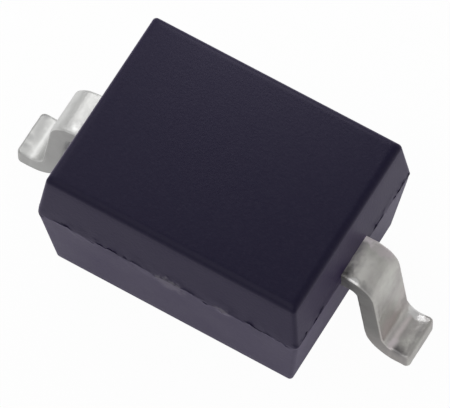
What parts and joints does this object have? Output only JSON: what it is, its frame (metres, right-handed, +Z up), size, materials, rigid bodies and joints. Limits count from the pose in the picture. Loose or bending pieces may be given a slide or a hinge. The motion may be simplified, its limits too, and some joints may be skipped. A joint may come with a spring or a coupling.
{
  "type": "zener diode",
  "caption": "Small black moulded diode with drafted sides, a parting line at mid height and tin-plated gull-wing leads at its ends, made to be soldered flat on a board.",
  "frame": {"origin": "on the seating plane of the feet, under the middle of the body", "axes": "+X along the leads from the cathode end to the anode end, +Y across the body, +Z up from the board"},
  "size_m": [0.0026, 0.0012, 0.0011],
  "materials": {
    "moulding_resin": "fine matte moulded resin",
    "tin_plate": "matte tin plate",
    "silicon": "polished silicon",
    "attach_layer": "dull silver-filled layer",
    "wire_metal": "bright drawn wire"
  },
  "bodies": {
    "root": {"moulded_body": "moulding_resin", "cathode_lead": "tin_plate", "anode_lead": "tin_plate", "zener_die": "silicon", "die_attach": "attach_layer", "bond_wire": "wire_metal"}
  },
  "joints": []
}
